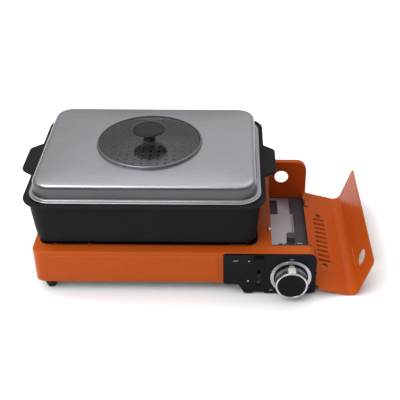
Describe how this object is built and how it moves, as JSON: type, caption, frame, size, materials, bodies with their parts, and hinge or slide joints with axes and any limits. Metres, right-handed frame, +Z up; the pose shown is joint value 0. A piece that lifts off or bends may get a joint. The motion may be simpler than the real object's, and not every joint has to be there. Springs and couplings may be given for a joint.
{
  "type": "butane cassette stove",
  "caption": "Low tabletop gas stove with an open hinged canister cover at its right, control knob in front, and a lidded rectangular pot on its pan support.",
  "frame": {"origin": "centre of the casing's footprint, on the table plane", "axes": "+X right seen from the front, +Y to the back, +Z up"},
  "size_m": [0.5377, 0.2956, 0.2165],
  "materials": {
    "orange_paint": "gloss stove enamel",
    "dark_steel": "dark oiled sheet",
    "zinc_steel": "plain zinc-plated sheet",
    "black_enamel": "black vitreous enamel",
    "panel_plastic": "fine satin",
    "black_plastic": "gloss",
    "chrome": "plated",
    "dial_metal": "spun satin",
    "cast_alloy": "die-cast",
    "aluminium": "drawn tube",
    "brass": "turned",
    "pot_coating": "dark non-stick coating on cast aluminium",
    "stainless": "brushed stainless",
    "window_glass": "grey tempered glass",
    "phenolic": "satin phenolic",
    "rubber": "plain",
    "ceramic": "unglazed",
    "screw_steel": "zinc-plated"
  },
  "bodies": {
    "stove_body": {"top_shell": "orange_paint", "base_plate": "zinc_steel", "bay_tray": "dark_steel", "hinge_pins": "screw_steel", "bay_rear_wall": "orange_paint", "rear_bracket": "zinc_steel", "cover_latch": "chrome", "heat_plate": "zinc_steel", "control_panel": "panel_plastic", "dial_ring": "dial_metal", "regulator_bracket": "zinc_steel", "regulator_body": "cast_alloy", "regulator_cap": "cast_alloy", "regulator_screws": "screw_steel", "piezo_igniter": "black_plastic", "gas_pipe": "aluminium", "injector": "brass", "mixing_tube": "aluminium", "burner_base": "cast_alloy", "burner_cap": "brass", "igniter_insulator": "ceramic", "igniter_electrode": "screw_steel", "drip_tray": "black_enamel", "well_screws": "screw_steel", "tray_clip": "chrome", "foot_front_left": "rubber", "foot_rear_left": "rubber", "foot_screws": "screw_steel", "pad_front_left": "rubber", "pad_front_right": "rubber", "pad_rear_left": "rubber", "pad_rear_right": "rubber"},
    "knob": {"knob_shell": "chrome", "knob_insert": "black_plastic", "knob_pointer": "chrome", "valve_stem": "brass"},
    "lock_lever": {"lever_head": "black_plastic", "lever_stem": "zinc_steel"},
    "canister_yoke": {"canister_yoke": "zinc_steel"},
    "canister_cover": {"canister_cover": "orange_paint"},
    "pan_support": {"pan_support": "black_enamel"},
    "pot": {"pot": "pot_coating"},
    "steam_rack": {"steam_rack": "stainless"},
    "pot_lid": {"lid_shell": "stainless", "window_gasket": "rubber", "window_glass": "window_glass", "window_ring": "stainless", "lid_knob": "phenolic", "lid_knob_washers": "stainless", "lid_knob_bolt": "screw_steel"}
  },
  "joints": [
    {"name": "cover_hinge", "type": "hinge", "parent": "stove_body", "child": "canister_cover", "pos_m": [0.216, 0, 0.0135], "axis": [0, -1, 0], "range_deg": [0, 105]},
    {"name": "knob_turn", "type": "hinge", "parent": "stove_body", "child": "knob", "pos_m": [0.176, -0.14, 0.034], "axis": [0, -1, 0], "range_deg": [0, 120]},
    {"name": "lever_slide", "type": "slide", "parent": "stove_body", "child": "lock_lever", "axis": [0, 0, -1], "range_m": [0, 0.03]},
    {"name": "yoke_slide", "type": "slide", "parent": "stove_body", "child": "canister_yoke", "axis": [0, -1, 0], "range_m": [0, 0.0048]},
    {"name": "support_lift", "type": "slide", "parent": "stove_body", "child": "pan_support", "axis": [0, 0, 1], "range_m": [0, 0.06]},
    {"name": "pot_lift", "type": "slide", "parent": "pan_support", "child": "pot", "axis": [0, 0, 1], "range_m": [0, 0.1]},
    {"name": "lid_lift", "type": "slide", "parent": "pot", "child": "pot_lid", "axis": [0, 0, 1], "range_m": [0, 0.16]},
    {"name": "rack_lift", "type": "slide", "parent": "pot", "child": "steam_rack", "axis": [0, 0, 1], "range_m": [0, 0.08]}
  ],
  "couplings": [
    {"joint": "yoke_slide", "follows": "lever_slide", "ratio": 0.16},
    {"joint": "rack_lift", "follows": "lid_lift", "ratio": 0.5}
  ]
}
